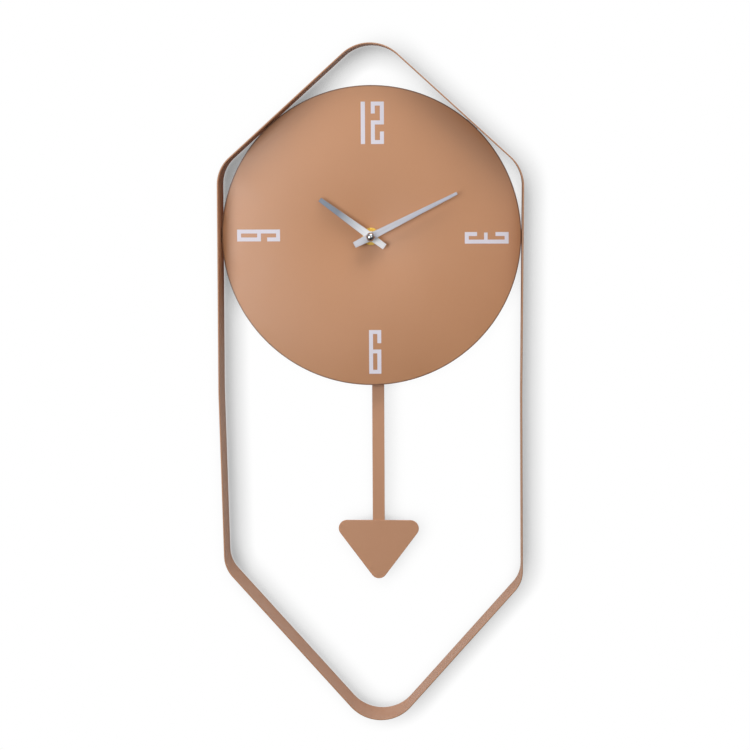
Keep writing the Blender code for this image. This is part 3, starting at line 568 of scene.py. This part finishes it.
def battery_sleeve(name, low, high):
    """A plain printed sleeve: dark with a copper band at the positive end."""
    g = Graph(name, (0.02, 0.02, 0.022), 0.3, 0.0, Coat_Weight=0.5)
    x = g.separated()[0]
    band_start = high - 0.30 * (high - low)
    can_start, foot_end = high - 1.6 * MM, low + 0.6 * MM
    blur = 0.05 * MM
    band = g.spread(x, 0.0, 1.0, band_start, band_start + blur)
    can = g.spread(x, 0.0, 1.0, can_start, can_start + blur)
    foot = g.spread(x, 1.0, 0.0, foot_end, foot_end + blur)
    grain = g.noise(900.0, 3.0)
    dark = g.colour_mix(g.spread(grain, 0.0, 1.0, 0.3, 0.7), (0.016, 0.016, 0.018), (0.03, 0.03, 0.034))
    copper = g.colour_mix(g.spread(grain, 0.0, 1.0, 0.3, 0.7), (0.50, 0.25, 0.09), (0.62, 0.33, 0.13))
    colour = g.colour_mix(band, dark, copper)
    metal = g.maths("MAXIMUM", can, foot)
    bare_metal = (0.62, 0.62, 0.63)
    g.colour(g.colour_mix(metal, colour, bare_metal))
    metallic = g.maths("MAXIMUM", metal, g.maths("MULTIPLY", band, 0.6))
    g.tree.links.new(metallic, g.shader.inputs["Metallic"])
    g.roughness(g.spread(g.noise(120.0, 3.0), 0.24, 0.38, 0.3, 0.7))
    g.bump(g.noise(600.0, 2.0), 0.00001, 0.2)
    return g.material


def printed_ink(name):
    """Screen-printed pale ink, slightly uneven at its edges and in its thickness."""
    colour = (0.64, 0.61, 0.68)
    g = Graph(name, colour, 0.5)
    mottle = g.spread(g.noise(1400.0, 4.0, 0.65), 0.0, 1.0, 0.3, 0.7)
    g.colour(g.colour_mix(mottle, scaled(colour, 0.95), scaled(colour, 1.03)))
    g.roughness(g.spread(g.noise(500.0, 3.0), 0.44, 0.58, 0.3, 0.7))
    g.bump(g.noise(2600.0, 2.0), 0.000008, 0.4)
    return g.material


def one_sided(name, surface):
    """A stage material seen from its front only. Surface makes the shader from the node helper."""
    g = Graph(name, (0.9, 0.9, 0.9), 0.9)
    clear = g.node("ShaderNodeBsdfTransparent")
    choice = g.node("ShaderNodeMixShader")
    g.tree.links.new(g.node("ShaderNodeNewGeometry").outputs["Backfacing"], choice.inputs[0])
    g.tree.links.new(surface(g).outputs[0], choice.inputs[1])
    g.tree.links.new(clear.outputs[0], choice.inputs[2])
    g.tree.links.new(choice.outputs[0], g.tree.nodes["Material Output"].inputs["Surface"])
    g.tree.nodes.remove(g.shader)
    return g.material


def matt(g):
    """Plain matt wall paint."""
    tone = g.colour_mix(g.noise(3.0, 3.0), (0.83,) * 3, (0.85,) * 3)
    return g.node("ShaderNodeBsdfDiffuse", Color=tone)


def openness(g, direction, reach, start, end, darkest):
    """How open a point is towards a direction: from the darkest level at start to 1 at end."""
    towards = g.node("ShaderNodeCombineXYZ", X=direction[0], Y=direction[1], Z=direction[2])
    open_share = g.node("ShaderNodeAmbientOcclusion", {"samples": 12}, Distance=reach)
    g.tree.links.new(towards.outputs[0], open_share.inputs["Normal"])
    return g.spread(open_share.outputs["AO"], darkest, 1.0, start, end)


def overexposed(g):
    """A white surface that gives its own light, with painted soft shadows where the clock covers it."""
    # painted shadow: the glow is darkened by how open each point is, not by the lamps
    level = g.maths("MULTIPLY", openness(g, **WIDE_SHADE), openness(g, **NEAR_SHADE))
    painted_shadow_colour = g.colour_mix(level, (0.0, 0.0, 0.0), (1.0, 1.0, 1.0))
    return g.node("ShaderNodeEmission", Color=painted_shadow_colour, Strength=1.0)


# Pieces


def make_materials():
    copper_wire = (0.62, 0.25, 0.10)
    # Both hands are one satin aluminium; their two base tones are set to how each catches the light, and
    # their tips get a painted reflection
    hand = {"roughness": 0.36, "along": 1, "streak": 0.8, "metallic": 0.35}
    hour_tip_reflection = {"tip_reflection": (0.26, 0.30, 0.36), "reach": 0.034}
    minute_tip_reflection = {"tip_reflection": (0.86, 0.86, 0.9), "reach": 0.06}
    return {
        "paint": copper_paint("copper_paint_satin", COPPER, flake_share=0.06, relief=0.10),
        "dial": copper_paint("copper_paint_dial", COPPER_DIAL, 0.16, 0.35, rim_radius=DIAL_RADIUS),
        "hour": brushed("aluminium_brushed_hour", (0.80, 0.80, 0.82), **hand, **hour_tip_reflection),
        "minute": brushed("aluminium_brushed_minute", (0.60, 0.60, 0.65), **hand, **minute_tip_reflection),
        "chrome": polished("chrome_polished", (0.58, 0.58, 0.60), 0.07),
        "brass": machined("brass_machined", (0.95, 0.64, 0.13), 0.30),
        "black": moulded("plastic_black_moulded", (0.018, 0.018, 0.019), 0.48),
        "white": moulded("plastic_white_acetal", (0.74, 0.74, 0.71), 0.38, 900.0, 0.00001, 0.03),
        "rubber": moulded("rubber_black", (0.02, 0.02, 0.02), 0.78, 900.0, 0.00003, 0.2),
        "steel": brushed("steel_rolled", (0.56, 0.56, 0.57), 0.34, along=0),
        "wire": wound_wire("wire_enamelled", copper_wire, axis=0),
        "coil": wound_wire("wire_enamelled_coil", copper_wire, axis=1),
        "board": circuit_board("board_green_mask", (0.03, 0.17, 0.07)),
        "ferrite": moulded("ferrite_sintered", (0.045, 0.045, 0.048), 0.45, 1200.0, 0.00003),
        "ink": printed_ink("ink_pale_print"),
    }


def make_band(materials):
    outlines = (rounded(BAND_BENDS), rounded(inset(BAND_BENDS, BAND_THICKNESS)))
    band = plate("band_loop", outlines, BAND_LOW.y, BAND_HIGH.y, edge=0.45 * MM)
    place(band, "clock", "copper_paint", materials["paint"], "frame_band")


def disc_profile(hole, radius, front, rear, edge):
    """The section of a flat ring with rounded edges, from its front bore edge to its rear one."""
    steps = 3
    corners = (
        (hole, front, 180, 90),
        (radius, front, 90, 0),
        (radius, rear, 0, -90),
        (hole, rear, -90, -180),
    )
    profile = []
    for at, y, start, end in corners:
        centre_radius = at + edge if at == hole else at - edge
        centre_y = y + edge if y == front else y - edge
        for step in range(steps + 1):
            point = polar(edge, start + (end - start) * step / steps)
            profile.append((centre_radius + point.x, centre_y - point.y))
    return profile


def make_dial(materials):
    profile = disc_profile(HOLE_ON_BUSHING, DIAL_RADIUS, DIAL_FRONT, DIAL_REAR, edge=0.3 * MM)
    dial = turned("dial_disc", profile, steps=360)
    place(dial, "clock", "copper_paint", materials["dial"], "dial_plate")
    for side in ("left", "top_left", "right", "top_right"):
        tab = refined(f"dial_tab_{side}", edge=0.25 * MM)
        place(tab, "clock", "copper_paint", materials["paint"], f"dial_tab_{side}")


def glyph(digit, w, h):
    """The outlines of an upright angular digit, w wide and h high, in millimetres.

    Low and high are the edges of its middle bar, which starts at bar in a 3. The other shares of h are
    where a side stroke ends.
    """
    s = STROKE
    if digit == "1":
        return [[(0, 0), (w, 0), (w, h), (0, h)]]
    if digit == "2":
        low, high = 0.462 * h, 0.558 * h
        return [
            [(0, 0), (w, 0), (w, 0.295 * h), (w - s, 0.295 * h), (w - s, s), (s, s), (s, low), (w, low)]
            + [(w, h), (0, h), (0, 0.72 * h), (s, 0.72 * h), (s, h - s), (w - s, h - s)]
            + [(w - s, high), (0, high)]
        ]
    if digit == "3":
        low, high = 0.44 * h, 0.52 * h
        bar = 0.4
        return [
            [(0, 0), (w, 0), (w, h), (0, h), (0, 0.70 * h), (s, 0.70 * h), (s, h - s), (w - s, h - s)]
            + [(w - s, high), (bar, high), (bar, low), (w - s, low), (w - s, s), (s, s)]
            + [(s, 0.28 * h), (0, 0.28 * h)]
        ]
    low, high = 0.467 * h, 0.555 * h
    six = [
        [(0, 0), (w, 0), (w, high), (s, high), (s, h - s), (w - s, h - s), (w - s, 0.70 * h)]
        + [(w, 0.70 * h), (w, h), (0, h)],
        [(s, s), (w - s, s), (w - s, low), (s, low)],
    ]
    if digit == "6":
        return six
    return [[(w - x, h - z) for x, z in outline] for outline in six]


def make_numerals(materials):
    """The printed digits, each a thin raised plate on the dial. The 3 and the 9 lie on their sides."""
    for name, (digit, (left, right), (bottom, top), turn) in NUMERALS.items():
        across, up = right - left, top - bottom
        w, h = (across, up) if turn == 0.0 else (up, across)
        outlines = [
            [((x - w / 2) * MM, (z - h / 2) * MM) for x, z in outline] for outline in glyph(digit, w, h)
        ]
        at = ((left + right) / 2 * MM, (bottom + top) / 2 * MM)
        ink_front = DIAL_FRONT - INK_THICKNESS
        numeral = plate(name, outlines, ink_front, DIAL_FRONT, edge=0.0, at=at, turn=turn)
        place(numeral, "clock", "copper_paint", materials["ink"])


def hand_outline(length, tail, tail_end_width, tail_width, blade_width, tip_width, hub_radius):
    """A baton that points up: a tail, a round hub and a tapered blade."""
    upper = math.asin(blade_width / 2 / hub_radius)
    lower = math.asin(tail_width / 2 / hub_radius)
    steps = 16
    right = [Vector((tail_end_width / 2, -tail))]
    for step in range(steps + 1):
        angle = math.pi - lower - (math.pi - lower - upper) * step / steps
        right.append(Vector((hub_radius * math.sin(angle), hub_radius * math.cos(angle))))
    right.append(Vector((tip_width / 2, length)))
    return right + [Vector((-point.x, point.y)) for point in reversed(right)]


def make_hands(materials):
    for body, hand_sizes in HANDS.items():
        low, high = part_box(f"{body}_hand")
        outlines = (hand_outline(*hand_sizes["shape"]), circle(hand_sizes["bore"], 32))
        turn = hand_sizes["turn"]
        hand = plate(f"{body}_hand_blade", outlines, low.y, high.y, edge=0.2 * MM, turn=turn)
        place(hand, body, "satin_aluminium", materials[body], f"{body}_hand")


def cap_nut_profile():
    """A ball cut flat at its back, with a chamfer there and a blind bore."""
    low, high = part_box("cap_nut")
    radius = (high.x - low.x) / 2
    centre = high.y - CAP_NUT_NECK
    chamfer_y = high.y - CAP_NUT_CHAMFER
    profile = [(0.0, centre - radius)]
    for degrees in range(6, 121, 6):
        point = polar(radius, 90 - degrees)
        if centre - point.y < chamfer_y:
            profile.append((point.x, centre - point.y))
    neck = profile[-1][0]
    profile += [(neck, chamfer_y), (neck - CAP_NUT_CHAMFER, high.y)]
    return profile + [(CAP_NUT_BORE, high.y), (CAP_NUT_BORE, centre), (0.0, centre)]


def make_hub(materials):
    """Cap nut, brass washer and hex nut."""
    nut = turned("cap_nut_dome", cap_nut_profile(), steps=64)
    place(nut, "minute", "polished_chrome", materials["chrome"], "cap_nut")
    for node, segments in (("brass_washer", 64), ("hex_nut", 6)):
        low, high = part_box(node)
        radius = (high.x - low.x) / 2
        outlines = (circle(radius, segments), circle(HOLE_ON_BUSHING, 48))
        ring = plate(f"{node}_turned", outlines, low.y, high.y, edge=0.15 * MM)
        place(ring, "clock", "brass", materials["brass"], node)


def make_pendulum(materials):
    for node, edge in (("pendulum_rod", 0.2), ("pendulum_bob", 0.25)):
        piece = refined(node, edge * MM, segments=3)
        place(piece, "pendulum", "copper_paint", materials["paint"], node)


def shifted(outline, at):
    return [Vector(point) + Vector(at) for point in outline]


def rectangle(left, right, bottom, top, radius):
    corners = ((right, top), (left, top), (left, bottom), (right, bottom))
    return rounded([(x, z, radius) for x, z in corners], degrees_per_step=15.0)


def arc_arrow(radius, width, start, end, head):
    """A curved arrow about the origin, from start to end and then a head, in degrees."""
    steps = 8
    along = [start + (end - start) * i / steps for i in range(steps + 1)]
    outer = [polar(radius + width / 2, angle) for angle in along]
    inner = [polar(radius - width / 2, angle) for angle in reversed(along)]
    barb = 1.3 * width
    point = [polar(radius + barb, end), polar(radius, end + head), polar(radius - barb, end)]
    return outer + point + inner


def polarity_marks(left, right, height):
    """A plus near the right side and a minus near the left one, at a height."""
    arm, thin = MARK_ARM, MARK_HALF_STROKE
    plus = [(arm, thin), (thin, thin), (thin, arm), (-thin, arm), (-thin, thin), (-arm, thin)]
    plus += [(-x, -z) for x, z in plus]
    minus = [(arm, thin), (-arm, thin), (-arm, -thin), (arm, -thin)]
    return [
        shifted(plus, (right - MARK_FROM_SIDE, height)),
        shifted(minus, (left + MARK_FROM_SIDE, height)),
    ]


def cover_recesses(knob_centre):
    """A blank label field, four side notches, the polarity marks and the arrows round the knob."""
    low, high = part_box("movement_cover")
    left, right = low.x - DIAL_CENTRE.x, high.x - DIAL_CENTRE.x
    bottom = low.z - DIAL_CENTRE.z
    label = (left + LABEL_MARGIN, right - LABEL_MARGIN, bottom + LABEL_BOTTOM, bottom + LABEL_TOP)
    recesses = [rectangle(*label, LABEL_CORNER)]
    for side, inner in ((left, left + NOTCH_DEPTH), (right, right - NOTCH_DEPTH)):
        for height in NOTCH_HEIGHTS:
            middle = bottom + height
            edges = sorted((side - math.copysign(NOTCH_OVERRUN, inner - side), inner))
            span = (middle - NOTCH_HALF_HEIGHT, middle + NOTCH_HALF_HEIGHT)
            recesses.append(rectangle(*edges, *span, NOTCH_CORNER))
    battery_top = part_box("battery")[1].z - DIAL_CENTRE.z
    recesses += polarity_marks(left, right, battery_top + MARK_ABOVE_BATTERY)
    for start, end, head in ARROWS:
        arrow = arc_arrow(ARROW_RADIUS, ARROW_WIDTH, start, end, head)
        recesses.append(shifted(arrow, knob_centre))
    return recesses


def make_movement_shells(materials):
    """The case and its cover with softened edges, and moulded recesses in the cover and the knob."""
    case = refined("movement_case", edge=0.4 * MM)
    place(case, "clock", "black_plastic", materials["black"], "movement_case")
    cover_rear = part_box("movement_cover")[1].y
    knob_low, knob_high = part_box("setting_knob")
    knob_centre = ((knob_low + knob_high) / 2 - DIAL_CENTRE).xz
    recesses = cover_recesses(knob_centre)
    cover = refined("movement_cover", edge=0.25 * MM)
    cover = carved(cover, recesses, cover_rear, COVER_RECESS)
    place(cover, "clock", "black_plastic", materials["black"], "movement_cover")
    dimple = [circle(KNOB_RECESS_RADIUS, 32, knob_centre)]
    knob = refined("setting_knob", edge=0.12 * MM)
    knob = carved(knob, dimple, knob_high.y, KNOB_RECESS)
    place(knob, "motion", "white_plastic", materials["white"], "setting_knob")


def repaint(node, material):
    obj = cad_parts[node]
    obj.data.materials.clear()
    obj.data.materials.append(material)
    smooth(obj.data, SHARP_NODE)


def repaint_nodes(materials):
    """Procedural finishes for the CAD nodes that stay."""
    finishes = {
        "white": (
            "hour_wheel",
            "motion_wheel",
            "centre_wheel",
            "third_wheel",
            "second_wheel",
            "fifth_wheel",
            "pendulum_hanger",
        ),
        "steel": (
            "minute_arbor",
            "train_plate",
            "stator",
            "quartz_crystal",
            "battery_contact_plus",
            "battery_contact_minus",
            "pendulum_pivot_pin",
        ),
        "brass": ("threaded_bushing",),
        "rubber": ("rubber_washer",),
        "wire": ("drive_coil",),
        "coil": ("pendulum_coil",),
        "board": ("circuit_board",),
        "ferrite": ("rotor", "pendulum_magnet"),
        "paint": ("bob_stud",),
    }
    for finish, nodes in finishes.items():
        for node in nodes:
            repaint(node, materials[finish])
    low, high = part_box("battery")
    repaint("battery", battery_sleeve("battery_sleeve_plain", low.x, high.x))


# Stage, light and camera


def stage_plane(name, place_at, rotation, material):
    half = STAGE_SIZE / 2
    mesh = bpy.data.meshes.new(name)
    corners = [(-half, -half, 0), (half, -half, 0), (half, half, 0), (-half, half, 0)]
    mesh.from_pydata(corners, [], [(0, 1, 2, 3)])
    mesh.materials.append(material)
    obj = add_object(name, mesh)
    obj.location = place_at
    obj.rotation_euler = rotation
    return obj


def make_stage():
    """What the camera sees of wall and floor, and a plain wall that sends light back to the clock."""
    upright = (math.pi / 2, 0.0, 0.0)
    # the wall and the floor glow white, with painted soft shadows round the clock
    white = one_sided("wall_white", overexposed)
    white.cycles.emission_sampling = "NONE"
    wall = stage_plane("wall", (0.0, WALL_Y, WALL_MIDDLE_Z), upright, white)
    floor = stage_plane("floor", (0.0, 0.0, FLOOR_Z), (0.0, 0.0, 0.0), white)
    for surface in (wall, floor):
        surface.visible_diffuse = False
        surface.visible_glossy = False
        surface.visible_transmission = False
        surface.visible_shadow = False
    wall_matt = one_sided("wall_matt", matt)
    bounce = stage_plane("wall_bounce", (0.0, BOUNCE_Y, WALL_MIDDLE_Z), upright, wall_matt)
    bounce.visible_camera = False
    bounce.visible_shadow = False


def area_light(name, at, target, width, height, watts):
    light = bpy.data.lights.new(name, "AREA")
    light.shape = "RECTANGLE"
    light.size, light.size_y = width, height
    light.energy = watts
    obj = bpy.data.objects.new(name, light)
    bpy.context.scene.collection.objects.link(obj)
    obj.location = at
    direction = Vector(target) - Vector(at)
    obj.rotation_euler = direction.to_track_quat("-Z", "Y").to_euler()
    return obj


def make_world(strength):
    """Studio surroundings: bright in front, more so above and at the left, and dark behind the wall.

    X, y and z run from -1 to 1 over the directions.
    """
    windows_over_room = 5.0
    seen_by_camera = 0.9
    world = bpy.data.worlds.new("studio")
    bpy.context.scene.world = world
    world.use_nodes = True
    g = Nodes(world.node_tree, "Generated")
    x, y, z = g.separated()
    in_front = g.spread(y, strength, 0.01, -0.02, 0.04)
    level = g.maths("MULTIPLY", in_front, g.spread(z, 0.35, 1.65, -0.7, 0.7))
    level = g.maths("MULTIPLY", level, g.spread(x, 1.3, 0.7, -0.8, 0.8))
    # two windows of light, one on each side of the camera
    aside = g.spread(g.maths("ABSOLUTE", x), 0.0, 1.0, 0.10, 0.20)
    inner = g.maths("MULTIPLY", aside, g.spread(g.maths("ABSOLUTE", x), 1.0, 0.0, 0.45, 0.55))
    high = g.maths("MULTIPLY", g.spread(z, 0.0, 1.0, -0.15, -0.05), g.spread(z, 1.0, 0.0, 0.40, 0.50))
    windows = g.maths("MULTIPLY", g.maths("MULTIPLY", inner, high), g.spread(y, 1.0, 0.0, -0.5, -0.3))
    level = g.maths("ADD", level, g.maths("MULTIPLY", windows, windows_over_room * strength))
    # the photographer and the tripod, a dark upright shape in the middle
    across = g.maths("ABSOLUTE", g.maths("SUBTRACT", x, 0.05))
    narrow, low = g.spread(across, 1.0, 0.0, 0.07, 0.13), g.spread(z, 1.0, 0.0, 0.25, 0.40)
    person = g.maths("MULTIPLY", narrow, low)
    level = g.maths("MULTIPLY", level, g.spread(person, 1.0, 0.15))
    # the camera sees plain pale surroundings
    seen = g.node("ShaderNodeLightPath").outputs["Is Camera Ray"]
    choice = g.node("ShaderNodeMix", {"data_type": "FLOAT"})
    for index, value in ((0, seen), (2, level), (3, seen_by_camera)):
        g.feed(choice.inputs[index], value)
    background = g.tree.nodes["Background"]
    g.tree.links.new(choice.outputs[0], background.inputs["Strength"])
    background.inputs["Color"].default_value = (1.0, 1.0, 1.0, 1.0)


def light_only(light, objects):
    """Limits a light to some objects."""
    receivers = bpy.data.collections.new(light.name + "_receivers")
    for obj in objects:
        receivers.objects.link(obj)
    light.light_linking.receiver_collection = receivers


def make_lights():
    middle = ((BAND_LOW.x + BAND_HIGH.x) / 2, 0.0, (BAND_LOW.z + BAND_HIGH.z) / 2)
    dial = (DIAL_CENTRE.x, DIAL_FRONT, DIAL_CENTRE.z)
    area_light("key_softbox", (-0.50, -0.80, -0.10), dial, width=0.45, height=0.6, watts=4.0)
    area_light("top_softbox", (0.24, -0.50, 1.15), dial, width=0.9, height=0.5, watts=8.0)
    area_light("side_softbox", (1.05, -1.45, 0.75), middle, width=0.9, height=0.9, watts=2.5)
    pieces = [o for o in bpy.data.objects if o.type == "MESH" and o.name not in STAGE_NAMES]
    # a light from behind, for the movement, the pendulum and the back of the dial
    rear = area_light("rear_softbox", (0.7, 1.9, 0.9), middle, width=1.6, height=1.6, watts=24.0)
    light_only(rear, [o for o in pieces if o.name != "band_loop"])
    make_world(WORLD_STRENGTH)


def make_camera():
    camera = bpy.data.cameras.new("camera")
    camera.lens = CAMERA_LENS
    camera.sensor_width = 36.0
    camera.clip_start = 0.01
    obj = bpy.data.objects.new("camera", camera)
    bpy.context.scene.collection.objects.link(obj)
    azimuth, elevation, roll = map(math.radians, (CAMERA_AZIMUTH, CAMERA_ELEVATION, CAMERA_ROLL))
    turn = Matrix.Rotation(azimuth, 4, "Z") @ Matrix.Rotation(math.pi / 2 - elevation, 4, "X")
    obj.matrix_world = Matrix.Translation(CAMERA_AT) @ turn @ Matrix.Rotation(roll, 4, "Z")
    bpy.context.scene.camera = obj


def clear_startup():
    """Removes the objects of Blender's startup file."""
    for name in ("Cube", "Light", "Camera"):
        if name in bpy.data.objects:
            bpy.data.objects.remove(bpy.data.objects[name], do_unlink=True)


def main():
    clear_startup()
    materials = make_materials()
    make_band(materials)
    make_dial(materials)
    make_numerals(materials)
    make_hands(materials)
    make_hub(materials)
    make_pendulum(materials)
    make_movement_shells(materials)
    repaint_nodes(materials)
    make_stage()
    make_lights()
    make_camera()
    bpy.context.scene.view_settings.view_transform = "Standard"


main()
